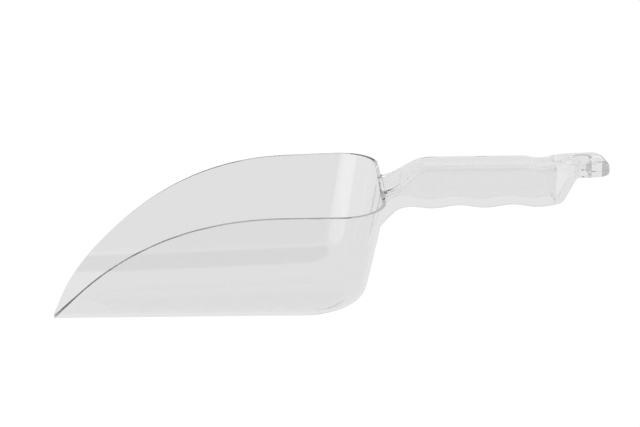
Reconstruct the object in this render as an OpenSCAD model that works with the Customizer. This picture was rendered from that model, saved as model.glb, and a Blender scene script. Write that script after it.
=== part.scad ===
// Clear one-piece serving scoop: a flared bowl with a slanted mouth, and a hollow-backed grip with a hanging tab.
// X runs from the front lip to the tail of the handle, Y to the right of a person who holds it, Z up.
// The origin is the middle of the scoop's length and width, on the surface that it rests on.

/* [Overall] */
// Length of the scoop from its front lip to the tail of its handle
overall_len = 302.4; // [295:0.1:315]

/* [Bowl] */
// Length of the rim from the front lip to the outside of the back wall
bowl_len = 180; // [172:1:184]
// Height of the level part of the rim
rim_h = 67.5; // [64:0.5:71]
// Half width that the rim's side line has at the front lip
front_half_w = 48.5; // [46:0.5:51]
// Half width that the rim's side line has at the back wall
rear_half_w = 56.5; // [54:0.5:59]
// Thickness of the bowl's walls and floor
wall = 2; // [1.6:0.1:2.6]
// Lean of the side walls from upright, in degrees
side_draft = 13; // [11:0.5:14]
// Lean of the back wall from upright, in degrees
back_draft = 11; // [9:0.5:13]
// Outside radius between the floor and a side wall
side_r = 30; // [27:0.5:31]
// Outside radius between the floor and the back wall
back_r = 21; // [18:0.5:23]
// Outside radius of the rim's two rear corners
corner_r = 23; // [18:0.5:26]

/* [Mouth] */
// Distance over which the rim climbs from the front lip to its level part
mouth_run = 131; // [120:1:136]
// Fullness of the climb at its top, where it meets the level rim
mouth_crest = 2.25; // [2:0.05:2.6]
// Fullness of the climb at its foot, where it leaves the front lip
mouth_foot = 1.12; // [1:0.02:1.3]

/* [Handle] */
// Height of the top of the hanging tab, and of the grip at its tail end
grip_top_z = 78.5; // [76:0.5:82]
// Fall of the grip from its front to its tail, in degrees
grip_fall = 0.8; // [0:0.1:1.2]
// Width of the grip
grip_w = 17.6; // [16:0.1:20]
// Thickness of the top of the grip
grip_top_t = 3; // [2.4:0.1:3.6]
// Thickness of the two side webs of the grip
web_t = 2.2; // [1.6:0.1:2.6]
// Outside radius along the top edges of the grip
grip_edge_r = 4; // [3:0.1:5]
// Radius inside the channel, between its ceiling and its webs
channel_r = 2.5; // [1.5:0.1:3]
// Height of the lowest points of the finger swells
swell_z = 54.5; // [53:0.5:57]
// Distance from one finger swell to the next
finger_pitch = 28.5; // [26:0.5:29]
// Depth of the finger grooves between the swells
groove_depth = 1.6; // [0.8:0.1:2.4]

/* [Neck] */
// Half width of the neck where it leaves the back wall
neck_half_w = 14; // [12:0.5:17]
// Distance over which the neck climbs from the rim to the top of the grip
neck_run = 24.5; // [20:0.5:26]
// Distance from the back wall to the place where the grip becomes straight
neck_len = 27; // [27:0.5:30]
// Radius along the top edges of the neck at the rim
neck_edge_r = 1.2; // [0.8:0.1:2]
// Height at which the neck's webs meet the back wall
neck_foot_z = 43; // [40:0.5:48]
// Distance over which the lower edge of the neck's webs sweeps up from the back wall
neck_sweep = 14.5; // [12:0.5:16.5]

/* [Tail] */
// Distance from the tail's tip to the inner face of the end wall
tail_len = 29.8; // [28:0.1:32]
// Half width of the hanging tab
tab_half_w = 9.6; // [9:0.1:11]
// Thickness of the hanging tab
tab_t = 8.8; // [6:0.1:10]
// Diameter of the hanging hole
hole_d = 9; // [6:0.5:10]
// Distance from the tail's tip to the centre of the hanging hole
hole_back = 14.9; // [13:0.1:17]
// Radius that rounds the top of the tab down to its tip, in side view
tip_top_r = 7; // [4:0.5:7]
// Radius that rounds the underside of the tab up to its tip, in side view
tip_low_r = 1.5; // [0.5:0.5:1.5]
// Depth of the thumb saddle across the top of the grip, just ahead of the tab
saddle_depth = 1.2; // [0.6:0.1:1.6]
// Length of the thumb saddle
saddle_len = 14; // [10:0.5:18]

/* [Hidden] */

// Number of levels up the bowl's walls, of steps round a corner and of stations along the neck
level_count = 36;
corner_steps = 9;
neck_stations = 18;
edge_steps = 5;
// The side walls end a little behind the mouth, and the back wall is a strip at the middle
side_joint_x = mouth_run + 4;
back_joint_y = 6;
// Plan taper of the side walls
taper = atan((rear_half_w - front_half_w)/bowl_len);
// Heights at which the outside radii run into the leaning walls
side_tangent_z = side_r*(1 - sin(side_draft));
back_tangent_z = back_r*(1 - sin(back_draft));
// Where the back of the flat floor ends
floor_end_x = bowl_len - (rim_h - back_tangent_z)*tan(back_draft) - back_r*cos(back_draft);
// Where the grip becomes straight, and where its end wall starts
grip_x = bowl_len + neck_len;
end_wall_x = overall_len - tail_len;
// Height of the top of the grip where it leaves the neck
grip_front_z = grip_top_z + (end_wall_x - grip_x)*tan(grip_fall);
// Middle of the finger swell at the front of the grip
first_swell_x = grip_x - 0.5;
// Height of the plane where the top of the grip meets its webs
web_top_z = grip_top_z - 6;
tab_bottom_z = grip_top_z - tab_t;
half_w = grip_w/2;
// Length over which the tab widens, the radius along its top edges and the steps round its tip
tab_flare_len = 10;
tab_edge_r = 2;
tip_steps = 24;
// Lean of the handle's rear face below the tab, the radius of its heel and the radius up under the tab
heel_lean = 26.5;
heel_r = 5.2;
tuck_r = 2;
// Clear plastic
clear = [0.86, 0.9, 0.92, 0.45];
tint = [0.78, 0.84, 0.88, 0.5];

function lerp(a, b, u) = a + (b - a)*u;

// Rises smoothly from 0 to 1 as u goes from 0 to 1
function ease(u) = let (c = min(1, max(0, u))) c*c*(3 - 2*c);

// Height of the slanted mouth's edge at x
function mouth_z(x) = rim_h*pow(1 - pow(1 - x/mouth_run, mouth_crest), 1/mouth_foot);

// Half width of the rim's side line at x
function rim_half_w(x) = lerp(front_half_w, rear_half_w, x/bowl_len);

// Half width of the flat floor at x
function floor_half_w(x) =
    rim_half_w(x) - (rim_h - side_tangent_z)*tan(side_draft) - side_r*cos(side_draft);

// Half width at x and height z of the wall face that lies t inside the outer one
function side_y(x, z, t) =
    let (r = side_r - t)
    z < side_r - r*sin(side_draft)
        ? floor_half_w(x) + sqrt(max(0, r*r - pow(side_r - z, 2)))
        : rim_half_w(x) - (rim_h - z)*tan(side_draft) - t/cos(side_draft);

// Place along X, at height z, of the back wall's face that lies t inside the outer one
function back_x(z, t) =
    let (r = back_r - t)
    z < back_r - r*sin(back_draft)
        ? floor_end_x + sqrt(max(0, r*r - pow(back_r - z, 2)))
        : bowl_len - (rim_h - z)*tan(back_draft) - t/cos(back_draft);

// Plan radius of the rear corner at height z, smaller towards the floor
function plan_r(z, t) =
    min(corner_r - t, cos(taper)*(side_y(back_x(z, t) - corner_r, z, t) - back_joint_y));

// Places along the mouth that set the levels, closer together towards the lip
mouth_x = [for (k = [0:level_count]) mouth_run*pow(k/level_count, 2)];
outer_z = [for (x = mouth_x) mouth_z(x)];

// Height of the inner face's level that stands square across the wall from height z
function inner_level(z) =
    z < side_tangent_z
        ? z + wall*(side_r - z)/side_r
        : z + wall*sin(side_draft)*(rim_h - z)/(rim_h - side_tangent_z);
inner_z = [for (z = outer_z) inner_level(z)];

// Right side wall at one level, from the mouth's edge back to the joint with the corner
function side_row(x, z, t) = [for (px = [x, side_joint_x]) [px, side_y(px, z, t), z]];

// Right rear corner at one level, from the side wall round to the back wall
function corner_row(z, t) =
    let (r = plan_r(z, t), cx = back_x(z, t) - r, cy = side_y(cx, z, t) - r/cos(taper))
    concat(
        [[side_joint_x, side_y(side_joint_x, z, t), z]],
        [for (i = [0:corner_steps])
            let (a = (90 + taper)*(1 - i/corner_steps))
            [cx + r*cos(a), cy + r*sin(a), z]],
        [[back_x(z, t), back_joint_y, z]]);

// Back wall strip at one level
function back_row(z, t) = [for (side = [1, -1]) [back_x(z, t), side*back_joint_y, z]];

// Closed solid between an outer and an inner grid of points that have the same rows and columns
module shell(outer, inner) {
    rows = len(outer);
    cols = len(outer[0]);
    skin = rows*cols;
    last_row = (rows - 1)*cols;
    points = concat([for (row = outer) each row], [for (row = inner) each row]);
    skins = [for (i = [0:rows - 2], j = [0:cols - 2])
        let (a = i*cols + j, b = a + 1, c = b + cols, d = a + cols)
        each [[a, b, c], [a, c, d], [a + skin, c + skin, b + skin], [a + skin, d + skin, c + skin]]];
    row_ends = [for (j = [0:cols - 2])
        let (a = j, b = j + 1, c = last_row + j + 1, d = last_row + j)
        each [[b, a, a + skin], [b, a + skin, b + skin], [d, c, c + skin], [d, c + skin, d + skin]]];
    col_ends = [for (i = [0:rows - 2])
        let (a = i*cols, d = a + cols, b = a + cols - 1, c = b + cols)
        each [[a, d, d + skin], [a, d + skin, a + skin], [c, b, b + skin], [c, b + skin, c + skin]]];
    polyhedron(points, concat(skins, row_ends, col_ends));
}

// Moves a shape that was drawn from the front lip into the scoop's own frame
module from_lip() {
    translate([-overall_len/2, 0, 0]) children();
}

// Turns a side view, drawn in X and Z, into a slab between y_from and y_to
module side_slab(y_from, y_to) {
    translate([0, y_to, 0]) rotate([90, 0, 0]) linear_extrude(y_to - y_from) children();
}

module floor_plate() {
    edge = concat([[0, floor_half_w(0)]], [for (p = corner_row(0, 0)) [p[0], p[1]]]);
    far_edge = [for (i = [len(edge) - 1:-1:0]) [edge[i][0], -edge[i][1]]];
    color(tint) from_lip() linear_extrude(wall) polygon(concat(edge, far_edge));
}

module side_wall() {
    shell([for (k = [0:level_count]) side_row(mouth_x[k], outer_z[k], 0)],
          [for (k = [0:level_count]) side_row(mouth_x[k], inner_z[k], wall)]);
}

module left_side_wall() {
    color(clear) from_lip() mirror([0, 1, 0]) side_wall();
}

module right_side_wall() {
    color(clear) from_lip() side_wall();
}

module rear_corner() {
    shell([for (z = outer_z) corner_row(z, 0)], [for (z = inner_z) corner_row(z, wall)]);
}

module left_rear_corner() {
    color(tint) from_lip() mirror([0, 1, 0]) rear_corner();
}

module right_rear_corner() {
    color(tint) from_lip() rear_corner();
}

module back_wall() {
    color(clear) from_lip()
        shell([for (z = outer_z) back_row(z, 0)], [for (z = inner_z) back_row(z, wall)]);
}

// Lower edge of the grip's webs: swells for the fingers, with shallow grooves between them
function web_low_z(x) =
    swell_z - (x - first_swell_x)*tan(grip_fall)
    + groove_depth*(1 - cos(360*(x - first_swell_x)/finger_pitch))/2;

// Lower edge of the neck's webs, which sweeps up from the back wall and then runs on to the first swell
neck_foot_x = back_x(neck_foot_z, 0);
neck_groove_x = first_swell_x - finger_pitch/2;
function neck_low_z(x) =
    web_low_z(max(x, neck_groove_x)) - sweep_drop*pow(max(0, 1 - (x - neck_foot_x)/neck_sweep), 2);
sweep_drop = web_low_z(neck_groove_x) - neck_foot_z;

// How far the neck has changed from its shape at the rim to that of the grip
function neck_u(x) = ease((x - bowl_len)/neck_run);

// Upper corner of an arch section, from its web to its crown, in steps of angle
function arch_corner(h, top, r) =
    [for (i = [0:edge_steps]) let (a = 90*i/edge_steps) [h - r + r*cos(a), top - r + r*sin(a)]];

// One face of the neck's arch section at x, as half of it: foot first, then the corner
function arch_half(x, t) =
    let (u = neck_u(x), h = lerp(neck_half_w, half_w, u), top = lerp(rim_h, grip_front_z, u))
    t == 0
        ? concat([[h, neck_low_z(x)]], arch_corner(h, top, lerp(neck_edge_r, grip_edge_r, u)))
        : concat([[h - web_t, neck_low_z(x)]], arch_corner(h - web_t, top - grip_top_t, channel_r));

// One face of the neck at station s: the first station lies on the back wall and the last is upright
function neck_row(s, t) =
    let (start = arch_half(bowl_len - neck_len, t), n = len(start) - 1)
    let (xs = [for (i = [0:n]) lerp(i == 0 ? neck_foot_x : back_x(start[i][1], 0), grip_x, s)])
    let (half = [for (i = [0:n]) let (p = arch_half(xs[i], t)[i]) [xs[i], p[0], p[1]]])
    concat([for (p = half) [p[0], -p[1], p[2]]], [for (i = [n:-1:0]) half[i]]);

module neck() {
    color(tint) from_lip()
        shell([for (i = [0:neck_stations]) neck_row(i/neck_stations, 0)],
              [for (i = [0:neck_stations]) neck_row(i/neck_stations, 1)]);
}

// Rectangle of half width h from low to top whose two upper corners are round
module arch_outline(h, low, top, r) {
    translate([-h, low]) square([2*h, top - r - low]);
    translate([-h + r, low]) square([2*(h - r), top - low]);
    for (side = [-1, 1]) translate([side*(h - r), top - r]) circle(r, $fn = 48);
}

// Extrudes a cross-section, drawn in Y and Z, from x_from to x_to
module along_x(x_from, x_to) {
    translate([x_from, 0, 0]) rotate([90, 0, 90]) linear_extrude(x_to - x_from) children();
}

// The grip's arch, longer than the grip at both ends and tipped by the grip's fall
module tipped_arch() {
    spare = 5;
    translate([end_wall_x, 0, grip_top_z]) rotate([0, grip_fall, 0]) translate([-end_wall_x, 0, -grip_top_z])
        along_x(grip_x - spare, end_wall_x + spare) difference() {
            arch_outline(half_w, web_top_z - spare, grip_top_z, grip_edge_r);
            arch_outline(half_w - web_t, web_top_z - 2*spare, grip_top_z - grip_top_t, channel_r);
        }
}

module grip_top() {
    saddle_r = (pow(saddle_len/2, 2) + pow(saddle_depth, 2))/(2*saddle_depth);
    color(clear) from_lip() difference() {
        intersection() {
            tipped_arch();
            translate([grip_x, -grip_w, web_top_z]) cube([end_wall_x - grip_x, 2*grip_w, 2*tab_t]);
        }
        translate([end_wall_x - saddle_len/2, 0, grip_top_z - saddle_depth + saddle_r])
            rotate([90, 0, 0]) cylinder(h = grip_w + 2, r = saddle_r, center = true, $fn = 120);
    }
}

module grip_web(y_from) {
    steps = 40;
    low_edge = [for (i = [0:steps]) let (x = lerp(grip_x, end_wall_x, i/steps)) [x, web_low_z(x)]];
    side_slab(y_from, y_from + web_t)
        polygon(concat(low_edge, [[end_wall_x, web_top_z], [grip_x, web_top_z]]));
}

module left_grip_web() {
    color(tint) from_lip() grip_web(-half_w);
}

module right_grip_web() {
    color(tint) from_lip() grip_web(half_w - web_t);
}

module grip_end_wall() {
    low = web_low_z(end_wall_x);
    cz = low + heel_r;
    heel = [for (i = [0:8]) let (a = lerp(-90, -heel_lean, i/8)) [end_wall_x + heel_r*cos(a), cz + heel_r*sin(a)]];
    face_x = end_wall_x + heel_r/cos(heel_lean) + (tab_bottom_z - cz)*tan(heel_lean);
    tuck_x = face_x + tuck_r*tan(45 + heel_lean/2) - 2*tuck_r*tan(heel_lean);
    tuck = [for (i = [0:5])
        let (a = lerp(180 - heel_lean, 90, i/5))
        [tuck_x + tuck_r*cos(a), tab_bottom_z - tuck_r + tuck_r*sin(a)]];
    color(clear) from_lip() side_slab(-half_w, half_w)
        polygon(concat(heel, tuck, [[end_wall_x, tab_bottom_z]]));
}

// Rounded plan of the hanging tab, as wide as the grip where it starts and half round at its tip
module tab_plan() {
    tip_x = overall_len - tab_half_w;
    steps = 8;
    flank = [for (i = [0:steps])
        [end_wall_x + tab_flare_len*i/steps, lerp(half_w, tab_half_w, ease(i/steps))]];
    tip = [for (i = [0:tip_steps])
        let (a = 90 - 180*i/tip_steps)
        [tip_x + tab_half_w*cos(a), tab_half_w*sin(a)]];
    far_flank = [for (i = [steps:-1:0]) [flank[i][0], -flank[i][1]]];
    polygon(concat(flank, tip, far_flank));
}

// Side view of the tab: flat, and rounded down and up to its tip
module tab_side() {
    top_cx = overall_len - tip_top_r;
    low_cx = overall_len - tip_low_r;
    top_arc = [for (i = [0:tip_steps])
        let (a = 90*i/tip_steps)
        [top_cx + tip_top_r*cos(a), grip_top_z - tip_top_r + tip_top_r*sin(a)]];
    low_arc = [for (i = [0:tip_steps])
        let (a = -90 + 90*i/tip_steps)
        [low_cx + tip_low_r*cos(a), tab_bottom_z + tip_low_r + tip_low_r*sin(a)]];
    polygon(concat(low_arc, top_arc, [[end_wall_x, grip_top_z], [end_wall_x, tab_bottom_z]]));
}

module hang_tab() {
    color(tint) from_lip() difference() {
        intersection() {
            translate([0, 0, tab_bottom_z]) linear_extrude(tab_t) tab_plan();
            along_x(end_wall_x, overall_len)
                arch_outline(tab_half_w, tab_bottom_z, grip_top_z, tab_edge_r);
            side_slab(-tab_half_w, tab_half_w) tab_side();
        }
        translate([overall_len - hole_back, 0, tab_bottom_z - 1])
            cylinder(h = tab_t + 2, d = hole_d, $fn = 64);
    }
}

floor_plate();
left_side_wall();
right_side_wall();
left_rear_corner();
back_wall();
right_rear_corner();
neck();
grip_top();
left_grip_web();
right_grip_web();
grip_end_wall();
hang_tab();
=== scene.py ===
"""Looks of a clear one-piece ice scoop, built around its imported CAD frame.

The real scoop is one injection moulding, so its plastic is made as one continuous skin: the bowl and the
handle are modelled apart, united, and then cut into the named regions of the CAD. The faces where two regions
meet lie inside the plastic and aren't seen.
"""

import logging
import math
from dataclasses import dataclass, field
from enum import Enum
from typing import Callable

import bmesh
import bpy
from mathutils import Matrix, Vector


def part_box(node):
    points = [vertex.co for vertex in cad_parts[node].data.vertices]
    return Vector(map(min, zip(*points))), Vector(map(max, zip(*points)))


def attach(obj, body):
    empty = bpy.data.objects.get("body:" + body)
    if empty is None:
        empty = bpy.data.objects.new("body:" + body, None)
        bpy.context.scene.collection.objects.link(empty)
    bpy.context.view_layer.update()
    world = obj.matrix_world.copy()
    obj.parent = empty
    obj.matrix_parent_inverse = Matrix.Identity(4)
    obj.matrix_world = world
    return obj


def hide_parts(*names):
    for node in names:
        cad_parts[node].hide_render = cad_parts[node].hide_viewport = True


LOG = logging.getLogger("ice_scoop")
MM = 0.001
BODY = "root"
# Attribute that keeps the normals of the whole skin while it is cut
SHADE = "skin_normal"
# A point nearer to a cutting plane than this counts as on it
ON_PLANE = 0.001 * MM
# A face whose normal is opposed to the cut by this cosine or more counts as parallel to it
OPPOSED = -0.999
# Slack in comparing two places along the handle
SLACK = 1e-9
# Light reflects inside the walls many times before it leaves, and crosses many joint faces
LIGHT_BOUNCES = 48
JOINTS_CROSSED = 64

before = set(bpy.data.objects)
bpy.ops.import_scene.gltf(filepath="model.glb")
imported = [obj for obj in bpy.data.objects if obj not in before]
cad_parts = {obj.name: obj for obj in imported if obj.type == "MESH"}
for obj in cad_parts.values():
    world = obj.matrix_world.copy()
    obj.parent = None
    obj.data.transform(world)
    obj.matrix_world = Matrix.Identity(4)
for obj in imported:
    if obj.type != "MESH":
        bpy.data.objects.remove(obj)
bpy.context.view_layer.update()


class Finish(Enum):
    """Materials of the plastic, by their slot; the edge and the tip slots carry painted shade."""

    WALL = 0
    EDGE = 1
    TIP = 2
    JOINT = 3


class Region(Enum):
    """Regions of the moulding, by the name of their node in the frame."""

    FLOOR = "floor_plate"
    LEFT_SIDE = "left_side_wall"
    RIGHT_SIDE = "right_side_wall"
    LEFT_CORNER = "left_rear_corner"
    RIGHT_CORNER = "right_rear_corner"
    BACK = "back_wall"
    NECK = "neck"
    GRIP_TOP = "grip_top"
    LEFT_WEB = "left_grip_web"
    RIGHT_WEB = "right_grip_web"
    END_WALL = "grip_end_wall"
    TAB = "hang_tab"


def lerp(a: float, b: float, u: float) -> float:
    """Returns the value u of the way from a to b."""
    return a + (b - a) * u


def ease(u: float) -> float:
    """Returns a smooth rise from 0 to 1 as u goes from 0 to 1."""
    c = min(1.0, max(0.0, u))
    return c * c * (3 - 2 * c)


def round_off(radius: float, past: float) -> float:
    """Returns how far a round edge has fallen at a distance past the place where its flat ends."""
    reach = min(radius, max(0.0, past))
    return radius - math.sqrt(radius * radius - reach * reach)


def linear_from_hex(hex_colour: str) -> tuple[float, float, float, float]:
    """Turns an sRGB hex colour into linear RGBA.

    Args:
        hex_colour: Six hex digits, such as "F2F4F4".

    Returns:
        The colour as linear red, green, blue and an alpha of 1.
    """
    def channel(code: str) -> float:
        """Turns one two-digit channel to linear."""
        value = int(code, 16) / 255
        return value / 12.92 if value <= 0.04045 else ((value + 0.055) / 1.055) ** 2.4

    return (*(channel(hex_colour[i:i + 2]) for i in (0, 2, 4)), 1.0)


def warped_grid(columns: int, rows: int, place: Callable[[float, float], Vector]) -> bmesh.types.BMesh:
    """Makes a grid and moves each of its points to where it belongs on a surface.

    Args:
        columns: Cells along u.
        rows: Cells along v.
        place: Gives the point of the surface for u and v, each from 0 to 1.

    Returns:
        The surface, with the grid's own loops along u and v.
    """
    sheet = bmesh.new()
    bmesh.ops.create_grid(sheet, x_segments=columns, y_segments=rows, size=0.5)
    for vert in sheet.verts:
        vert.co = place(round(vert.co.x + 0.5, 6), round(vert.co.y + 0.5, 6))
    return sheet


def object_from(bm: bmesh.types.BMesh, name: str) -> bpy.types.Object:
    """Turns a bmesh into an object at the origin and frees the bmesh.

    Args:
        bm: The bmesh.
        name: Name of the object and its mesh.

    Returns:
        The object, linked to the scene.
    """
    mesh = bpy.data.meshes.new(name)
    bm.to_mesh(mesh)
    bm.free()
    obj = bpy.data.objects.new(name, mesh)
    bpy.context.scene.collection.objects.link(obj)
    return obj


def boolean(target: bpy.types.Object, tool: bpy.types.Object, operation: str) -> None:
    """Unites a tool with a target or cuts it away, applies the result and removes the tool.

    Args:
        target: The object that keeps the result.
        tool: The closed object that is added or taken away.
        operation: "UNION" or "DIFFERENCE".
    """
    modifier = target.modifiers.new("join", "BOOLEAN")
    modifier.operation = operation
    modifier.solver = "EXACT"
    modifier.object = tool
    apply_modifiers(target)
    bpy.data.objects.remove(tool)


def apply_modifiers(obj: bpy.types.Object) -> None:
    """Replaces an object's mesh by what its modifiers make of it.

    Args:
        obj: The object.
    """
    graph = bpy.context.evaluated_depsgraph_get()
    mesh = bpy.data.meshes.new_from_object(obj.evaluated_get(graph))
    obj.modifiers.clear()
    obj.data = mesh


@dataclass(frozen=True)
class Run:
    """One stretch of a section's outline: its number of cells and its point at a share of its length."""

    cells: int
    point: Callable[[float], tuple[float, float]]


def line_run(cells: int, start: tuple[float, float], end: tuple[float, float]) -> Run:
    """Makes a straight run from start to end."""
    return Run(cells, lambda share: (lerp(start[0], end[0], share), lerp(start[1], end[1], share)))


def arc_run(cells: int, y: float, z: float, radius: float, first: float, last: float) -> Run:
    """Makes a round run.

    Args:
        cells: Number of its cells.
        y: Centre along Y.
        z: Centre along Z.
        radius: Its radius.
        first: Angle of its start, in degrees.
        last: Angle of its end, in degrees.

    Returns:
        The run.
    """
    def point(share: float) -> tuple[float, float]:
        """Returns the point at a share of the run."""
        angle = math.radians(lerp(first, last, share))
        return y + radius * math.cos(angle), z + radius * math.sin(angle)

    return Run(cells, point)


def point_along(runs: list[Run], column: float) -> tuple[float, float]:
    """Finds a point of an outline.

    Args:
        runs: The outline's runs in order.
        column: Place along the outline, counted in cells from the start of the first run.

    Returns:
        The point's y and z.
    """
    for run in runs[:-1]:
        if column <= run.cells:
            return run.point(column / run.cells)
        column -= run.cells
    return runs[-1].point(min(1.0, column / runs[-1].cells))


def append(target: bmesh.types.BMesh, other: bmesh.types.BMesh) -> None:
    """Adds another bmesh to a target and frees it.

    Args:
        target: The bmesh that grows.
        other: The bmesh that is added.
    """
    mesh = bpy.data.meshes.new("appended")
    other.to_mesh(mesh)
    other.free()
    target.from_mesh(mesh)
    bpy.data.meshes.remove(mesh)


def halve(solid: bmesh.types.BMesh, point: Vector,
          normal: Vector) -> tuple[bmesh.types.BMesh, bmesh.types.BMesh]:
    """Cuts a closed solid along a plane, closes both halves with joint faces and frees the solid.

    Args:
        solid: The solid.
        point: A point of the plane.
        normal: Normal of the plane.

    Returns:
        The half behind the plane and the half that its normal points to.
    """
    halves = []
    for outward in (normal, -normal):
        half = solid.copy()
        bmesh.ops.bisect_plane(half, geom=half.verts[:] + half.edges[:] + half.faces[:], dist=ON_PLANE,
                               plane_co=point, plane_no=outward, clear_outer=True)
        half.normal_update()
        stray = [face for face in half.faces if face.normal.dot(outward) < OPPOSED
                 and all(abs((vert.co - point).dot(outward)) < ON_PLANE for vert in face.verts)]
        bmesh.ops.delete(half, geom=stray, context="FACES")
        made = bmesh.ops.holes_fill(half, edges=[edge for edge in half.edges if edge.is_boundary])
        for cap in made["faces"]:
            cap.normal_update()
            if cap.normal.dot(outward) < 0:
                cap.normal_flip()
            cap.smooth = False
            cap.material_index = Finish.JOINT.value
            for edge in cap.edges:
                edge.smooth = False
        halves.append(half)
    solid.free()
    return halves[0], halves[1]


@dataclass
class Bowl:
    """The flared tub with a flat floor, a slanted mouth and round rear corners.

    Sizes are in metres, angles in degrees.
    """

    front_half_w: float = 48.5 * MM  # at the lip, on the rim's side line carried forwards
    rear_half_w: float = 56.5 * MM
    side_draft: float = 13  # lean of the side walls
    back_draft: float = 11  # lean of the back wall
    side_r: float = 30 * MM  # lower radius of the side walls
    back_r: float = 21 * MM  # lower radius of the back wall
    corner_r: float = 23 * MM  # rear corners, seen from above
    mouth_run: float = 131 * MM  # how far behind the lip the mouth reaches the rim
    mouth_crest: float = 2.25  # the higher, the more gently the mouth joins the rim
    mouth_foot: float = 1.12  # the higher, the more steeply it leaves the lip
    edge_r: float = 0.45 * MM
    edge_segments: int = 3
    flat_back: float = 6 * MM  # least half width of the flat between the rear corners
    side_columns: int = 22
    corner_columns: int = 12
    back_columns: int = 12
    floor_rows: int = 6
    wall_rows: int = 108
    merge_gap: float = 0.01 * MM
    lip_x: float = field(init=False)
    length: float = field(init=False)
    rim_h: float = field(init=False)
    wall: float = field(init=False)
    taper: float = field(init=False)
    side_lean: float = field(init=False)
    back_lean: float = field(init=False)
    side_tangent_z: float = field(init=False)
    floor_end: float = field(init=False)

    def __post_init__(self) -> None:
        """Takes the bowl's place and outer sizes from the frame."""
        floor_low, floor_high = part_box("floor_plate")
        _, back_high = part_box("back_wall")
        self.lip_x = floor_low.x
        self.length = back_high.x - self.lip_x
        self.rim_h = back_high.z
        self.wall = floor_high.z
        self.taper = math.atan((self.rear_half_w - self.front_half_w) / self.length)
        self.side_lean = math.radians(self.side_draft)
        self.back_lean = math.radians(self.back_draft)
        self.side_tangent_z = self.side_r * (1 - math.sin(self.side_lean))
        self.floor_end = self.back_x(0, 0)

    def mouth_z(self, x: float) -> float:
        """Returns the height of the mouth's edge at a distance x from the lip."""
        rest = 1 - (1 - x / self.mouth_run) ** self.mouth_crest
        return self.rim_h * rest ** (1 / self.mouth_foot)

    def rim_half_w(self, x: float) -> float:
        """Returns the half width of the rim's side line at x."""
        return lerp(self.front_half_w, self.rear_half_w, x / self.length)

    def floor_half_w(self, x: float) -> float:
        """Returns the half width of the flat floor at x."""
        rise = (self.rim_h - self.side_tangent_z) * math.tan(self.side_lean)
        return self.rim_half_w(x) - rise - self.side_r * math.cos(self.side_lean)

    def side_y(self, x: float, z: float, inset: float) -> float:
        """Returns the half width of a side wall's face.

        Args:
            x: Distance from the lip.
            z: Height.
            inset: Depth of the face inside the outer one.

        Returns:
            The half width there.
        """
        r = self.side_r - inset
        if z < self.side_r - r * math.sin(self.side_lean):
            return self.floor_half_w(x) + math.sqrt(max(0.0, r * r - (self.side_r - z) ** 2))
        lean = (self.rim_h - z) * math.tan(self.side_lean)
        return self.rim_half_w(x) - lean - inset / math.cos(self.side_lean)

    def back_x(self, z: float, inset: float) -> float:
        """Finds the back wall's face.

        Args:
            z: Height.
            inset: Depth of the face inside the outer one.

        Returns:
            The face's distance from the lip.
        """
        r = self.back_r - inset
        tangent_z = self.back_r * (1 - math.sin(self.back_lean))
        if z < self.back_r - r * math.sin(self.back_lean):
            lean = (self.rim_h - tangent_z) * math.tan(self.back_lean)
            centre = self.length - lean - self.back_r * math.cos(self.back_lean)
            return centre + math.sqrt(max(0.0, r * r - (self.back_r - z) ** 2))
        return self.length - (self.rim_h - z) * math.tan(self.back_lean) - inset / math.cos(self.back_lean)

    def outline(self, u: float, x_front: float, z: float, inset: float, share: float) -> Vector:
        """Finds a point of one level's outline, on its right half.

        Args:
            u: 0 at the mouth, 1 at the middle of the back.
            x_front: Distance from the lip at which the level starts.
            z: Height of the level.
            inset: Depth of the face inside the outer one.
            share: 1 on a wall, and less on the rows of the floor that shrink to its middle.

        Returns:
            The point, with x counted from the lip.
        """
        total = self.side_columns + self.corner_columns + self.back_columns
        column = u * total
        middle = self.floor_half_w(self.floor_end)
        back = self.back_x(z, inset) - (1 - share) * middle
        full_r = min(self.corner_r - inset, math.cos(self.taper)
                     * (self.side_y(self.back_x(z, inset) - self.corner_r, z, inset) - self.flat_back))
        r = full_r * share
        cx = back - r
        cy = self.side_y(cx, z, inset) * share - r / math.cos(self.taper)
        start = math.pi / 2 + self.taper * share
        arc_x = cx + r * math.cos(start)
        if column <= self.side_columns:
            x = lerp(x_front, arc_x, column / self.side_columns)
            return Vector((x, self.side_y(x, z, inset) * share, z))
        column -= self.side_columns
        if column <= self.corner_columns:
            angle = start * (1 - column / self.corner_columns)
            return Vector((cx + r * math.cos(angle), cy + r * math.sin(angle), z))
        column -= self.corner_columns
        return Vector((back, cy * (1 - column / self.back_columns), z))

    def surface_point(self, u: float, v: float, inset: float) -> Vector:
        """Finds a point of the right half of the bowl's outer or inner face.

        Args:
            u: 0 at the lip and the mouth, 1 at the middle of the back.
            v: 0 along the middle of the floor, 1 at the rim.
            inset: 0 for the outer face, the wall's thickness for the inner one.

        Returns:
            The point in the frame.
        """
        row = v * (self.floor_rows + self.wall_rows)
        if row <= self.floor_rows:
            point = self.outline(u, 0.0, inset, inset, row / self.floor_rows)
        else:
            x = self.mouth_run * ((row - self.floor_rows) / self.wall_rows) ** 2
            z = self.mouth_z(x)
            if z < self.side_tangent_z:
                level = z + inset * (self.side_r - z) / self.side_r
            else:
                fade = (self.rim_h - z) / (self.rim_h - self.side_tangent_z)
                level = z + inset * math.sin(self.side_lean) * fade
            point = self.outline(u, x, level, inset, 1.0)
        point.x += self.lip_x
        return point

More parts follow.
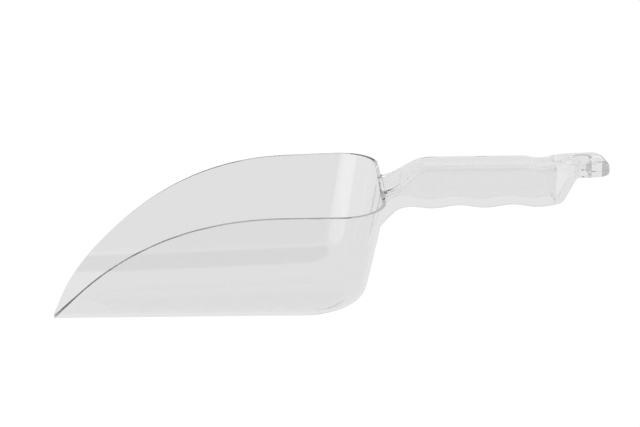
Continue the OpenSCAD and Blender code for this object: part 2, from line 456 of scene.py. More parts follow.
    def face(self, inset: float) -> bmesh.types.BMesh:
        """Makes the whole outer or inner face of the bowl.

        Args:
            inset: 0 for the outer face, the wall's thickness for the inner one.

        Returns:
            The face as one sheet, with both halves.
        """
        columns = self.side_columns + self.corner_columns + self.back_columns
        rows = self.floor_rows + self.wall_rows
        sheet = warped_grid(columns, rows, lambda u, v: self.surface_point(u, v, inset))
        whole = sheet.verts[:] + sheet.edges[:] + sheet.faces[:]
        bmesh.ops.mirror(sheet, geom=whole, axis="Y", merge_dist=-1)
        bmesh.ops.remove_doubles(sheet, verts=sheet.verts, dist=self.merge_gap)
        return sheet

    def build(self) -> bpy.types.Object:
        """Makes the bowl.

        Returns:
            A closed shell with rounded edges round its mouth and rim.
        """
        shell = self.face(0.0)
        append(shell, self.face(self.wall))
        border = [edge for edge in shell.edges if edge.is_boundary]
        made = bmesh.ops.bridge_loops(shell, edges=border)
        bmesh.ops.recalc_face_normals(shell, faces=shell.faces)
        rim = set(made["faces"])
        sharp = [edge for edge in border if edge.is_valid and sum(f in rim for f in edge.link_faces) == 1]
        # The mouth's and rim's faces and their bevels take the edge material, whose greyer colour is painted
        # shade.
        for face in rim:
            face.material_index = Finish.EDGE.value
        bevel = bmesh.ops.bevel(shell, geom=sharp, offset=self.edge_r, offset_type="OFFSET",
                                affect="EDGES", segments=self.edge_segments, profile=0.5, material=-1,
                                clamp_overlap=True)
        for face in bevel["faces"]:
            face.material_index = Finish.EDGE.value
        return object_from(shell, "bowl")


@dataclass
class Handle:
    """Neck, channelled grip, end wall and hanging tab, lofted along the scoop.

    Sizes are in metres, angles in degrees.
    """

    bowl: Bowl
    half_w: float = 8.8 * MM
    grip_fall: float = 0.8  # slope of the grip towards its tail
    top_thick: float = 3 * MM
    web_thick: float = 2.2 * MM
    grip_edge_r: float = 4 * MM
    channel_r: float = 2.5 * MM  # upper corners of the channel
    low_edge_r: float = 0.7 * MM
    swell_z: float = 54.5 * MM  # lowest height of the first finger swell
    swell_lead: float = 0.5 * MM  # how far ahead of the grip's front that swell stands
    finger_pitch: float = 28.5 * MM
    groove_depth: float = 1.6 * MM
    neck_half_w: float = 14 * MM
    neck_run: float = 24.5 * MM  # length over which the neck narrows and rises
    neck_edge_r: float = 1.2 * MM
    neck_foot_z: float = 43 * MM  # height at which the neck's underside meets the back wall
    neck_sweep: float = 14.5 * MM  # length over which that underside curves down
    root_depth: float = 1.1 * MM  # how far the root reaches into the back wall
    root_fillet: float = 1.6 * MM
    saddle_depth: float = 1.2 * MM
    saddle_len: float = 14 * MM
    tab_half_w: float = 9.6 * MM
    tab_flare: float = 10 * MM  # length over which the tab widens
    tab_edge_r: float = 2 * MM
    hole_r: float = 4.5 * MM
    hole_back: float = 14.9 * MM  # from the tab's end to the middle of its hole
    hole_lip: float = 0.6 * MM  # radius of the hole's edges
    tip_top_r: float = 7 * MM
    tip_low_r: float = 1.5 * MM
    heel_lean: float = 26.5  # lean of the end wall's rear face
    heel_r: float = 5.2 * MM
    tuck_r: float = 2 * MM  # between that face and the tab's underside
    low_fit: float = 0.45  # largest share of the half width or height that a lower edge's radius takes
    top_fit_w: float = 0.95  # largest share of the half width that an upper edge's radius takes
    top_fit_h: float = 0.5  # largest share of the height that it takes
    skin: float = 0.02 * MM  # keeps the top clear of the rim, so that the two unite cleanly
    merge_gap: float = 0.004 * MM
    root_rows: int = 5
    neck_rows: int = 26
    grip_rows: int = 34
    saddle_rows: int = 14
    heel_rows: int = 8
    tuck_rows: int = 12
    tab_rows: int = 24
    foot_cells: int = 5
    side_cells: int = 10
    edge_cells: int = 10
    top_cells: int = 7
    roof_cells: int = 8
    sole_cells: int = 2
    under_cells: int = 4
    hole_steps: int = 64
    lip_steps: int = 5
    cutter_reach: float = 2 * MM
    lip_x: float = field(init=False)
    grip_x: float = field(init=False)
    end_x: float = field(init=False)
    length: float = field(init=False)
    top_z: float = field(init=False)
    tab_low_z: float = field(init=False)
    web_top_z: float = field(init=False)
    fall: float = field(init=False)
    front_z: float = field(init=False)
    first_swell_x: float = field(init=False)
    first_groove_x: float = field(init=False)
    foot_x: float = field(init=False)
    sweep_drop: float = field(init=False)
    lean: float = field(init=False)
    heel_z: float = field(init=False)
    tuck_x: float = field(init=False)

    def __post_init__(self) -> None:
        """Takes the handle's stations and heights from the frame."""
        self.lip_x = self.bowl.lip_x
        _, neck_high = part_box("neck")
        tab_low, tab_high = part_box("hang_tab")
        self.grip_x = neck_high.x - self.lip_x
        self.end_x = tab_low.x - self.lip_x
        self.length = tab_high.x - self.lip_x
        self.top_z = tab_high.z
        self.tab_low_z = tab_low.z
        self.web_top_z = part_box("left_grip_web")[1].z
        self.fall = math.tan(math.radians(self.grip_fall))
        self.front_z = self.top_z + (self.end_x - self.grip_x) * self.fall
        self.first_swell_x = self.grip_x - self.swell_lead
        self.first_groove_x = self.first_swell_x - self.finger_pitch / 2
        self.foot_x = self.bowl.back_x(self.neck_foot_z, 0)
        self.sweep_drop = self.web_low(self.first_groove_x) - self.neck_foot_z
        self.lean = math.radians(self.heel_lean)
        self.heel_z = self.web_low(self.end_x) + self.heel_r
        rise = (self.tab_low_z - self.heel_z) * math.tan(self.lean)
        face_x = self.end_x + self.heel_r / math.cos(self.lean) + rise
        spread = math.tan(math.pi / 4 + self.lean / 2) - 2 * math.tan(self.lean)
        self.tuck_x = face_x + self.tuck_r * spread

    def web_low(self, x: float) -> float:
        """Returns the height of the grip's wavy lower edge at a distance x from the lip."""
        wave = 1 - math.cos(2 * math.pi * (x - self.first_swell_x) / self.finger_pitch)
        return self.swell_z - (x - self.first_swell_x) * self.fall + self.groove_depth * wave / 2

    def low_z(self, x: float) -> float:
        """Finds the handle's underside: neck, grip, heel, rear face, tuck, tab and tip in turn.

        Args:
            x: Distance from the lip.

        Returns:
            The underside's height.
        """
        if x <= self.end_x:
            sweep = self.sweep_drop * max(0.0, 1 - (x - self.foot_x) / self.neck_sweep) ** 2
            return self.web_low(max(x, self.first_groove_x)) - sweep
        if x <= self.end_x + self.heel_r * math.cos(self.lean):
            return self.heel_z - self.heel_r + round_off(self.heel_r, x - self.end_x)
        if x <= self.tuck_x - self.tuck_r * math.cos(self.lean):
            return self.heel_z + (x - self.end_x - self.heel_r / math.cos(self.lean)) / math.tan(self.lean)
        if x <= self.tuck_x:
            return self.tab_low_z - round_off(self.tuck_r, self.tuck_x - x)
        return self.tab_low_z + round_off(self.tip_low_r, x - (self.length - self.tip_low_r))

    def top_at(self, x: float) -> float:
        """Finds the handle's top, with the thumb saddle and the round tip.

        Args:
            x: Distance from the lip.

        Returns:
            The top's height.
        """
        if x <= self.grip_x:
            return lerp(self.bowl.rim_h, self.front_z, ease((x - self.bowl.length) / self.neck_run))
        top = self.top_z + max(0.0, self.end_x - x) * self.fall
        saddle_r = ((self.saddle_len / 2) ** 2 + self.saddle_depth ** 2) / (2 * self.saddle_depth)
        off = x - (self.end_x - self.saddle_len / 2)
        if abs(off) < self.saddle_len:
            top = min(top, self.top_z - self.saddle_depth + round_off(saddle_r, abs(off)))
        return top - round_off(self.tip_top_r, x - (self.length - self.tip_top_r))

    def half_at(self, x: float) -> float:
        """Finds how wide the handle is.

        Args:
            x: Distance from the lip.

        Returns:
            The handle's half width.
        """
        if x <= self.end_x:
            return lerp(self.neck_half_w, self.half_w, ease((x - self.bowl.length) / self.neck_run))
        round_tip = round_off(self.tab_half_w, x - (self.length - self.tab_half_w))
        return lerp(self.half_w, self.tab_half_w, ease((x - self.end_x) / self.tab_flare)) - round_tip

    def edge_at(self, x: float) -> float:
        """Finds how round the handle's upper edges are.

        Args:
            x: Distance from the lip.

        Returns:
            Their radius.
        """
        if x <= self.end_x:
            return lerp(self.neck_edge_r, self.grip_edge_r, ease((x - self.bowl.length) / self.neck_run))
        return lerp(self.grip_edge_r, self.tab_edge_r, ease((x - self.end_x) / self.tab_flare))

    def stations(self, first_x: float, last_x: float) -> list[float]:
        """Lists the places at which the handle's sections stand.

        Args:
            first_x: Distance from the lip at which the list starts.
            last_x: Distance from the lip at which it ends.

        Returns:
            The places, as distances from the lip. Round ends have them crowded towards the end.
        """
        heel_x = self.end_x + self.heel_r * math.cos(self.lean)
        saddle_x = self.end_x - self.saddle_len
        root_x = self.bowl.length + self.root_fillet
        spans = [(self.bowl.length, root_x, self.root_rows, False),
                 (root_x, self.grip_x, self.neck_rows, False),
                 (self.grip_x, saddle_x, self.grip_rows, False),
                 (saddle_x, self.end_x, self.saddle_rows, False),
                 (self.end_x, heel_x, self.heel_rows, True),
                 (heel_x, self.tuck_x, self.tuck_rows, False),
                 (self.tuck_x, self.length, self.tab_rows, True)]
        places = [lerp(start, end, math.sin(math.pi / 2 * i / rows) if crowded else i / rows)
                  for start, end, rows, crowded in spans for i in range(rows)]
        places.append(self.length)
        return [x for x in places if first_x - SLACK <= x <= last_x + SLACK]

    def sheet(self, stations: list[float], columns: int,
              section: Callable[[float, float, float], tuple[float, float]]) -> bmesh.types.BMesh:
        """Lofts half sections along the handle.

        Args:
            stations: Places of the sections, as distances from the lip.
            columns: Cells round half a section.
            section: Gives y and z of the half outline's point at a column, for a place and the place of its
                foot.

        Returns:
            The right half of the skin, in the frame. Sections of the neck lie along the back wall where it
            starts, and turn upright towards the grip.
        """
        rows = len(stations) - 1

        def place(u: float, v: float) -> Vector:
            """Finds a point of the skin.

            Args:
                u: 0 at the start of a section's outline, 1 at its end.
                v: 0 at the first section, 1 at the last one.

            Returns:
                The point in the frame.
            """
            x = stations[round(v * rows)]
            turn = min(1.0, (x - self.bowl.length) / (self.grip_x - self.bowl.length))
            foot = lerp(self.foot_x, self.grip_x, turn) if turn < 1 else x
            y, z = section(u * columns, x, foot)
            if turn < 1:
                x = lerp(self.bowl.back_x(min(z, self.bowl.rim_h), 0), self.grip_x, turn)
            if turn == 0:
                x -= self.root_depth
            return Vector((self.lip_x + x, y, z))

        return warped_grid(columns, rows, place)

    def outer_runs(self, x: float, foot: float) -> list[Run]:
        """Lists the runs of the outer half section: lower edge, side, upper edge and top in turn.

        Args:
            x: Place of the section.
            foot: Place of its foot.

        Returns:
            The runs.
        """
        flare = self.root_flare(x)
        half, low, top = self.half_at(x) + flare, self.low_z(foot) - flare, self.top_at(x) + self.skin
        low_r = min(self.low_edge_r, half * self.low_fit, (top - low) * self.low_fit)
        top_r = min(self.edge_at(x), half * self.top_fit_w, (top - low) * self.top_fit_h)
        return [arc_run(self.foot_cells, half - low_r, low + low_r, low_r, -90, 0),
                line_run(self.side_cells, (half, low + low_r), (half, top - top_r)),
                arc_run(self.edge_cells, half - top_r, top - top_r, top_r, 0, 90),
                line_run(self.top_cells, (half - top_r, top), (0, top))]

    def inner_half(self, x: float) -> float:
        """Returns the channel's half width at x."""
        return self.half_at(x) - self.web_thick - self.root_flare(x)

    def arch_section(self, column: float, x: float, foot: float) -> tuple[float, float]:
        """Finds a point of the channelled half section: ceiling, inside, the web's foot and outside.

        Args:
            column: Place along the outline, in cells.
            x: Place of the section.
            foot: Place of its foot.

        Returns:
            The point's y and z.
        """
        half, low = self.inner_half(x), self.low_z(foot) - self.root_flare(x)
        top = self.top_at(x) - self.top_thick - self.root_flare(x)
        foot_r, roof_r = self.low_edge_r, self.channel_r
        outer = self.outer_runs(x, foot)
        inner = [line_run(self.top_cells, (0, top), (half - roof_r, top)),
                 arc_run(self.roof_cells, half - roof_r, top - roof_r, roof_r, 90, 0),
                 line_run(self.side_cells, (half, top - roof_r), (half, low + foot_r)),
                 arc_run(self.foot_cells, half + foot_r, low + foot_r, foot_r, 180, 270),
                 line_run(self.sole_cells, (half + foot_r, low), outer[0].point(0))]
        return point_along(inner + outer, column)

    def solid_section(self, column: float, x: float, foot: float) -> tuple[float, float]:
        """Finds a point of the tail's solid half section, from the middle of its underside to its top.

        Args:
            column: Place along the outline, in cells.
            x: Place of the section.
            foot: Place of its foot.

        Returns:
            The point's y and z.
        """
        outer = self.outer_runs(x, foot)
        edge_y, low = outer[0].point(0)
        split = edge_y * (self.inner_half(self.end_x) + self.low_edge_r) / (self.half_w - self.low_edge_r)
        flat = [line_run(self.under_cells, (0, low), (split, low)),
                line_run(self.sole_cells, (split, low), (edge_y, low))]
        return point_along(flat + outer, column)

    def root_flare(self, x: float) -> float:
        """Returns how far the fillet at the root stands out from the handle at x."""
        return round_off(self.root_fillet, self.root_fillet - (x - self.bowl.length))

    def hole_cutter(self) -> bpy.types.Object:
        """Makes the cutter of the hanging hole.

        Returns:
            A spun profile that spreads round both of the hole's edges.
        """
        cutter = bmesh.new()
        low, high = self.tab_low_z, self.top_z
        lip, reach, steps = self.hole_lip, self.cutter_reach, self.lip_steps
        profile = [Vector((0, 0, low - reach)), Vector((self.hole_r + lip, 0, low - reach))]
        for side, start in ((-1, low), (1, high)):
            arc = [math.pi / 2 * i / steps for i in range(steps + 1)]
            bend = [Vector((self.hole_r + lip - lip * math.sin(a), 0, start - side * lip * (1 - math.cos(a))))
                    for a in arc]
            profile += bend if side < 0 else bend[::-1]
        profile += [Vector((self.hole_r + lip, 0, high + reach)), Vector((0, 0, high + reach))]
        verts = [cutter.verts.new(point) for point in profile]
        edges = [cutter.edges.new(pair) for pair in zip(verts, verts[1:])]
        bmesh.ops.spin(cutter, geom=verts + edges, cent=(0, 0, 0), axis=(0, 0, 1), angle=math.tau,
                       steps=self.hole_steps, use_merge=True)
        bmesh.ops.remove_doubles(cutter, verts=cutter.verts, dist=self.merge_gap)
        bmesh.ops.recalc_face_normals(cutter, faces=cutter.faces)
        hole_x = self.lip_x + self.length - self.hole_back
        bmesh.ops.translate(cutter, vec=(hole_x, 0, 0), verts=cutter.verts)
        return object_from(cutter, "hole_cutter")

    def build(self) -> bpy.types.Object:
        """Makes the whole handle.

        Returns:
            The handle, from its root inside the bowl's back wall to the tip of its tab.
        """
        outside = self.foot_cells + self.side_cells + self.edge_cells + self.top_cells
        inside = self.top_cells + self.roof_cells + self.side_cells + self.foot_cells + self.sole_cells
        front = self.stations(self.bowl.length, self.end_x)
        skin = self.sheet(front, inside + outside, self.arch_section)
        tail = self.stations(self.end_x, self.length)
        append(skin, self.sheet(tail, self.under_cells + self.sole_cells + outside, self.solid_section))
        half = skin.verts[:] + skin.edges[:] + skin.faces[:]
        bmesh.ops.mirror(skin, geom=half, axis="Y", merge_dist=-1)
        bmesh.ops.remove_doubles(skin, verts=skin.verts, dist=self.merge_gap)
        bmesh.ops.dissolve_degenerate(skin, dist=self.merge_gap, edges=skin.edges)
        bmesh.ops.holes_fill(skin, edges=[edge for edge in skin.edges if edge.is_boundary])
        bmesh.ops.recalc_face_normals(skin, faces=skin.faces)
        handle = object_from(skin, "handle")
        boolean(handle, self.hole_cutter(), "DIFFERENCE")
        return handle


@dataclass
class Moulding:
    """The whole scoop, made as one skin and then cut into its regions.

    Sizes are in metres, angles in degrees.
    """

    bowl: Bowl
    handle: Handle
    side_end_x: float = 135 * MM  # where the side walls end and the rear corners start
    root_gap: float = 1.65 * MM  # from the back wall to the cut across the neck's root
    crease: float = 35  # an edge that turns by more than this stays sharp
    tip_reach: float = 6 * MM  # how far ahead of the tab's end its painted shade reaches
    tip_facing: float = 0.35  # least x of the normal of a face there that takes it
    lip_margin: float = 1.1  # how far out the painted shade of the hole's edge reaches, in radii of that edge

    def whole(self) -> bmesh.types.BMesh:
        """Unites the bowl with the handle.

        Returns:
            The whole skin, which keeps its normals in an attribute.
        """
        scoop = self.bowl.build()
        boolean(scoop, self.handle.build(), "UNION")
        for face in scoop.data.polygons:
            face.use_smooth = True
        scoop.data.set_sharp_from_angle(angle=math.radians(self.crease))
        even = scoop.modifiers.new("even", "WEIGHTED_NORMAL")
        even.keep_sharp = True
        apply_modifiers(scoop)
        kept = scoop.data.attributes.new(SHADE, "FLOAT_VECTOR", "CORNER")
        normals = [corner.vector for corner in scoop.data.corner_normals]
        kept.data.foreach_set("vector", [part for normal in normals for part in normal])
        skin = bmesh.new()
        skin.from_mesh(scoop.data)
        bpy.data.objects.remove(scoop)
        return skin

    def cut_bowl(self, tub: bmesh.types.BMesh) -> dict[Region, bmesh.types.BMesh]:
        """Cuts the bowl along the edges of its floor, and at the ends of its floor and side walls.

        Args:
            tub: The whole bowl.

        Returns:
            Its regions.
        """
        start = Vector((self.bowl.lip_x, self.bowl.floor_half_w(0), 0))
        across = Vector((-math.tan(self.bowl.taper), 1, 0)).normalized()
        flip = Vector((1, -1, 1))
        middle, right = halve(tub, start, across)
        middle, left = halve(middle, start * flip, across * flip)
        along = Vector((1, 0, 0))
        floor, back = halve(middle, Vector((self.bowl.lip_x + self.bowl.floor_end, 0, 0)), along)
        side_end = Vector((self.bowl.lip_x + self.side_end_x, 0, 0))
        left_side, left_corner = halve(left, side_end, along)
        right_side, right_corner = halve(right, side_end, along)
        return {Region.FLOOR: floor, Region.BACK: back,
                Region.LEFT_SIDE: left_side, Region.LEFT_CORNER: left_corner,
                Region.RIGHT_SIDE: right_side, Region.RIGHT_CORNER: right_corner}

    def cut_handle(self, handle: bmesh.types.BMesh) -> dict[Region, bmesh.types.BMesh]:
        """Cuts the handle at both ends of its grip, under the grip's top and under the hanging tab.

        Args:
            handle: The whole handle.

        Returns:
            Its regions.
        """
        along, upward = Vector((1, 0, 0)), Vector((0, 0, 1))
        lip_x = self.bowl.lip_x
        neck, rest = halve(handle, Vector((lip_x + self.handle.grip_x, 0, 0)), along)
        grip, tail = halve(rest, Vector((lip_x + self.handle.end_x, 0, 0)), along)
        webs, top = halve(grip, Vector((0, 0, self.handle.web_top_z)), upward)
        left_web, right_web = halve(webs, Vector((0, 0, 0)), Vector((0, 1, 0)))
        end_wall, tab = halve(tail, Vector((0, 0, self.handle.tab_low_z)), upward)
        return {Region.NECK: neck, Region.GRIP_TOP: top,
                Region.LEFT_WEB: left_web, Region.RIGHT_WEB: right_web,
                Region.END_WALL: end_wall, Region.TAB: tab}

    def build(self) -> dict[Region, bpy.types.Object]:
        """Makes every region.

        Returns:
            The regions as closed pieces that keep the normals of the whole skin.
        """
        lean = self.bowl.back_lean
        outward = Vector((math.cos(lean), 0, -math.sin(lean)))
        rim = Vector((self.bowl.lip_x + self.bowl.length, 0, self.bowl.rim_h))
        tub, handle = halve(self.whole(), rim + outward * self.root_gap, outward)
        solids = self.cut_bowl(tub) | self.cut_handle(handle)
        return {region: self.shaded(solid, "moulded_" + region.value) for region, solid in solids.items()}

    def shaded(self, solid: bmesh.types.BMesh, name: str) -> bpy.types.Object:
        """Makes a region's object and gives its skin the normals that it had in the whole scoop.

        Args:
            solid: The region, which is freed.
            name: Name of the piece.

        Returns:
            The piece.
        """
        open_edges = sum(not edge.is_manifold for edge in solid.edges)
        volume = solid.calc_volume() / MM ** 3
        piece = object_from(solid, name)
        mesh = piece.data
        kept = [corner.vector.copy() for corner in mesh.attributes[SHADE].data]
        for face in mesh.polygons:
            if face.material_index == Finish.JOINT.value:
                for corner in face.loop_indices:
                    kept[corner] = face.normal.copy()
        mesh.attributes.remove(mesh.attributes[SHADE])
        mesh.normals_split_custom_set(kept)
        LOG.info("%s: %d faces, %d open edges, %.1f mm3", name, len(mesh.polygons), open_edges, volume)
        return piece

    def mark_tab(self, tab: bpy.types.Object) -> None:
        """Gives the hanging tab's upright end and the hole's upper edge the materials with painted shade.

        Args:
            tab: The hanging tab.
        """
        end_x = self.bowl.lip_x + self.handle.length
        hole = Vector((end_x - self.handle.hole_back, 0, 0))
        lip_r = self.handle.hole_r + self.lip_margin * self.handle.hole_lip
        lip_z = self.handle.top_z - self.handle.hole_lip
        for face in tab.data.polygons:
            middle = Vector(face.center)
            round_hole = (middle - hole).xy.length < lip_r
            if middle.x > end_x - self.tip_reach and face.normal.x > self.tip_facing:
                face.material_index = Finish.TIP.value
            elif round_hole and middle.z > lip_z:
                face.material_index = Finish.EDGE.value

    def dress(self, pieces: dict[Region, bpy.types.Object]) -> None:
        """Gives every region its materials, two of which carry painted shade, and its place in the frame.

        Args:
            pieces: The pieces by region.
        """
        slot_materials = [ClearPolycarbonate().material(), PolishedEdgePaintedShade().material(), TabEndPaintedShade().material(),
                    Joint().material()]
        self.mark_tab(pieces[Region.TAB])
        for region, piece in pieces.items():
            for slot_material in slot_materials:
                piece.data.materials.append(slot_material)
            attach(piece, BODY)
            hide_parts(region.value)


def add_node(tree: bpy.types.NodeTree, kind: str, settings: dict | None = None,
             **links: bpy.types.NodeSocket) -> bpy.types.Node:
    """Adds a node with its settings and links.

    Args:
        tree: The node tree.
        kind: The node's type.
        settings: Values by property or input name.
        **links: Output sockets by input name, with underscores for spaces.

    Returns:
        The new node.
    """
    node = tree.nodes.new(kind)
    for name, value in (settings or {}).items():
        if name in node.inputs:
            node.inputs[name].default_value = value
        else:
            setattr(node, name, value)
    for name, source in links.items():
        tree.links.new(source, node.inputs[name.replace("_", " ")])
    return node


@dataclass(frozen=True)
class ClearPolycarbonate:
    """Polycarbonate, injection moulded in a polished tool.

    Clear with a faint grey, glossy, with the slight waviness of moulded flow and a fine haze of handling
    scuffs. A single scuff is too fine to show, so the haze is drawn in patches of them.
    """

    name: str = "polycarbonate_moulded_clear"
    colour: str = "F9F9F9"
    ior: float = 1.585
    gloss: float = 0.01
    scuffed: float = 0.04
    scuff_size: float = 9 * MM
    scuff_detail: float = 6
    scuff_grain: float = 0.7
    scuff_span: tuple[float, float] = (0.35, 0.75)
    flow_size: float = 24 * MM
    flow_detail: float = 1
    flow_height: float = 0.02 * MM

    def material(self) -> bpy.types.Material:
        """Makes the material.

        Returns:
            A clear shader whose roughness and bump follow two noises in the object's own space.
        """
        made = bpy.data.materials.new(self.name)
        made.use_nodes = True
        tree = made.node_tree
        tree.nodes.clear()
        place = add_node(tree, "ShaderNodeTexCoord").outputs["Object"]
        grain = {"Scale": 1 / self.scuff_size, "Detail": self.scuff_detail, "Roughness": self.scuff_grain}
        scuffs = add_node(tree, "ShaderNodeTexNoise", grain, Vector=place)
        span = {"From Min": self.scuff_span[0], "From Max": self.scuff_span[1], "To Min": self.gloss,
                "To Max": self.scuffed}
        rough = add_node(tree, "ShaderNodeMapRange", span, Value=scuffs.outputs["Fac"])
        swirl = {"Scale": 1 / self.flow_size, "Detail": self.flow_detail}
        flow = add_node(tree, "ShaderNodeTexNoise", swirl, Vector=place)
        wave = add_node(tree, "ShaderNodeBump", {"Strength": 1, "Distance": self.flow_height},
                        Height=flow.outputs["Fac"])
        clear = {"Base Color": linear_from_hex(self.colour), "IOR": self.ior, "Transmission Weight": 1}
        shader = add_node(tree, "ShaderNodeBsdfPrincipled", clear, Roughness=rough.outputs["Result"],
                          Normal=wave.outputs["Normal"])
        add_node(tree, "ShaderNodeOutputMaterial", Surface=shader.outputs["BSDF"])
        return made


@dataclass(frozen=True)
class PolishedEdgePaintedShade(ClearPolycarbonate):
    """The edge round the mouth, the rim and the top of the hanging hole, polished in the mould.

    The same plastic, without the waviness of flow, with a greyer colour painted on as shade: light that
    leaves by the edge has come a long way along the wall, so the edge looks greyer, and the colour stands in
    for that.
    """

    name: str = "polycarbonate_polished_edge_painted_shade"
    # Greyer than the wall: painted shade that stands in for the light lost on its way along the wall
    colour: str = "BEC0C1"
    flow_height: float = 0.0


@dataclass(frozen=True)
class TabEndPaintedShade(ClearPolycarbonate):
    """The upright end of the hanging tab.

    The same plastic, with a still greyer colour painted on as shade, because its light has come along the
    whole handle.
    """

    name: str = "polycarbonate_tab_end_painted_shade"
    # Painted shade: a darker grey that stands in for the light lost along the whole handle
    colour: str = "A6A8A9"


@dataclass(frozen=True)
class Joint:
    """Faces where two regions of the moulding meet, inside the plastic, so nothing shows of them."""

    name: str = "inside_of_moulding"

    def material(self) -> bpy.types.Material:
        """Makes the material.

        Returns:
            A shader that shows nothing.
        """
        made = bpy.data.materials.new(self.name)
        made.use_nodes = True
        tree = made.node_tree
        tree.nodes.clear()
        shader = add_node(tree, "ShaderNodeBsdfPrincipled", {"Alpha": 0, "Roughness": 1})
        add_node(tree, "ShaderNodeOutputMaterial", Surface=shader.outputs["BSDF"])
        return made


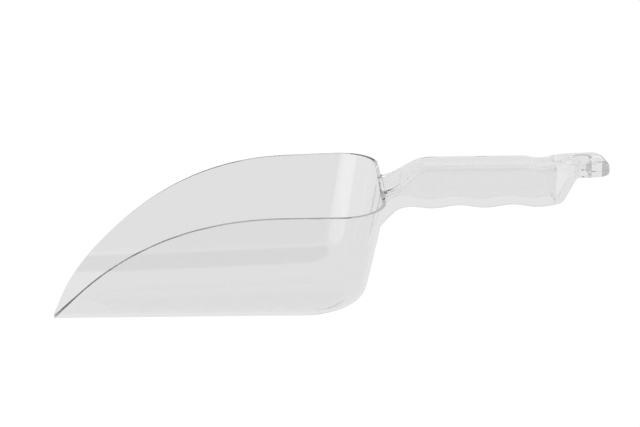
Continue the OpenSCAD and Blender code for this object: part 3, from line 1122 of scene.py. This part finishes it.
@dataclass
class Studio:
    """The pale floor, the soft light and the camera. Sizes are in metres, angles in degrees."""

    target: Vector = field(default_factory=lambda: Vector((-4.983, 0, 50.477)) * MM)
    distance: float = 693.534 * MM
    azimuth: float = -0.582
    elevation: float = 20
    roll: float = -1.404
    lens: float = 71.91  # millimetres, as the sensor's width is
    sensor: float = 36
    near_clip: float = 10 * MM
    floor_size: float = 8
    floor_sides: int = 64
    floor_gap: float = 0.3 * MM  # keeps the floor from touching the scoop
    glow_gap: float = 0.33 * MM  # the floor that lights the scoop lies just below the one that shows
    paper: float = 1.05  # the floor as the camera sees it
    glow: float = 0.82  # the floor as the scoop sees it, and the room
    ceiling: float = 0.1  # levels of the two darker patches and of the window, against the room
    front: float = 0.55
    window: float = 0.9
    ceiling_towards: tuple[float, float, float] = (0, -0.559, 0.829)
    front_towards: tuple[float, float, float] = (0, -1, 0.1)
    window_towards: tuple[float, float, float] = (-0.62, -0.78, 0.07)
    ceiling_edge: tuple[float, float] = (0.92, 0.965)
    front_edge: tuple[float, float] = (0.86, 0.97)
    window_edge: tuple[float, float] = (0.86, 0.93)

    def camera(self) -> None:
        """Sets the camera up."""
        turn, lift, roll = (math.radians(a) for a in (self.azimuth, self.elevation, self.roll))
        back = Vector((math.sin(turn) * math.cos(lift), -math.cos(turn) * math.cos(lift), math.sin(lift)))
        right = (-back).cross(Vector((0, 0, 1))).normalized()
        up = back.cross(right)
        across = right * math.cos(roll) + up * math.sin(roll)
        upright = up * math.cos(roll) - right * math.sin(roll)
        data = bpy.data.cameras.new("camera")
        data.lens = self.lens
        data.sensor_width = self.sensor
        data.clip_start = self.near_clip
        camera = bpy.data.objects.new("camera", data)
        facing = Matrix((across, upright, back)).transposed().to_4x4()
        camera.matrix_world = Matrix.Translation(self.target + back * self.distance) @ facing
        bpy.context.scene.collection.objects.link(camera)
        bpy.context.scene.camera = camera

    def sheet(self, name: str, radiance: float, z: float) -> bpy.types.Object:
        """Makes a round sheet of even light, which can be seen through from below.

        Args:
            name: Name of the sheet.
            radiance: Strength of its light.
            z: Height.

        Returns:
            The sheet.
        """
        disc = bmesh.new()
        bmesh.ops.create_circle(disc, cap_ends=True, segments=self.floor_sides, radius=self.floor_size / 2)
        bmesh.ops.translate(disc, vec=(0, 0, z), verts=disc.verts)
        sheet = object_from(disc, name)
        paper = bpy.data.materials.new(name + "_paper")
        paper.use_nodes = True
        tree = paper.node_tree
        tree.nodes.clear()
        glow = add_node(tree, "ShaderNodeEmission", {"Color": (1, 1, 1, 1), "Strength": radiance})
        clear = add_node(tree, "ShaderNodeBsdfTransparent")
        below = add_node(tree, "ShaderNodeNewGeometry").outputs["Backfacing"]
        either = add_node(tree, "ShaderNodeMixShader", Fac=below)
        tree.links.new(glow.outputs["Emission"], either.inputs[1])
        tree.links.new(clear.outputs["BSDF"], either.inputs[2])
        add_node(tree, "ShaderNodeOutputMaterial", Surface=either.outputs["Shader"])
        sheet.data.materials.append(paper)
        return sheet

    def patch(self, tree: bpy.types.NodeTree, ray: bpy.types.NodeSocket,
              towards: tuple[float, float, float], edge: tuple[float, float], levels: tuple[float, float],
              light: bpy.types.NodeSocket | None, operation: str) -> bpy.types.NodeSocket:
        """Makes one round, soft-edged part of the room brighter or darker.

        Args:
            tree: The world's node tree.
            ray: Direction of the ray.
            towards: Middle of the patch.
            edge: Cosines of the angles from the middle at which the patch starts and is whole.
            levels: Level outside and inside.
            light: The light so far, or None for an even room.
            operation: How the patch joins the light so far.

        Returns:
            The light with the patch.
        """
        facing = add_node(tree, "ShaderNodeVectorMath", {"operation": "DOT_PRODUCT"})
        tree.links.new(ray, facing.inputs[0])
        facing.inputs[1].default_value = Vector(towards).normalized()
        span = {"From Min": edge[0], "From Max": edge[1], "To Min": levels[0], "To Max": levels[1],
                "interpolation_type": "SMOOTHSTEP"}
        level = add_node(tree, "ShaderNodeMapRange", span, Value=facing.outputs["Value"]).outputs["Result"]
        if light is None:
            return level
        joined = add_node(tree, "ShaderNodeMath", {"operation": operation})
        tree.links.new(light, joined.inputs[0])
        tree.links.new(level, joined.inputs[1])
        return joined.outputs["Value"]

    def light(self) -> None:
        """Lays the floor and lights the room."""
        floor = self.sheet("floor", self.paper, -self.floor_gap)
        seen = self.sheet("floor_glow", self.glow, -self.glow_gap)
        for name in ("visible_diffuse", "visible_glossy", "visible_transmission", "visible_shadow"):
            setattr(floor, name, False)
        seen.visible_camera = False
        world = bpy.data.worlds.new("studio")
        world.use_nodes = True
        tree = world.node_tree
        tree.nodes.clear()
        ray = add_node(tree, "ShaderNodeTexCoord").outputs["Generated"]
        light = self.patch(tree, ray, self.ceiling_towards, self.ceiling_edge, (1, self.ceiling),
                           None, "MULTIPLY")
        light = self.patch(tree, ray, self.front_towards, self.front_edge, (1, self.front),
                           light, "MULTIPLY")
        light = self.patch(tree, ray, self.window_towards, self.window_edge, (0, self.window),
                           light, "ADD")
        level = add_node(tree, "ShaderNodeMath", {"operation": "MULTIPLY"}, Value=light)
        level.inputs[1].default_value = self.glow
        white = {"Color": (1, 1, 1, 1)}
        glow = add_node(tree, "ShaderNodeBackground", white, Strength=level.outputs["Value"])
        add_node(tree, "ShaderNodeOutputWorld", Surface=glow.outputs["Background"])
        bpy.context.scene.world = world
        bpy.context.scene.view_settings.view_transform = "Standard"
        bpy.context.scene.cycles.max_bounces = LIGHT_BOUNCES
        bpy.context.scene.cycles.transmission_bounces = LIGHT_BOUNCES
        bpy.context.scene.cycles.glossy_bounces = LIGHT_BOUNCES
        bpy.context.scene.cycles.transparent_max_bounces = JOINTS_CROSSED


def main() -> None:
    """Builds the scoop, its stage and its camera, and reports each piece."""
    logging.basicConfig(level=logging.INFO, format="%(message)s")
    studio = Studio()
    studio.camera()
    studio.light()
    bowl = Bowl()
    moulding = Moulding(bowl, Handle(bowl))
    moulding.dress(moulding.build())


if __name__ == "__main__":
    main()
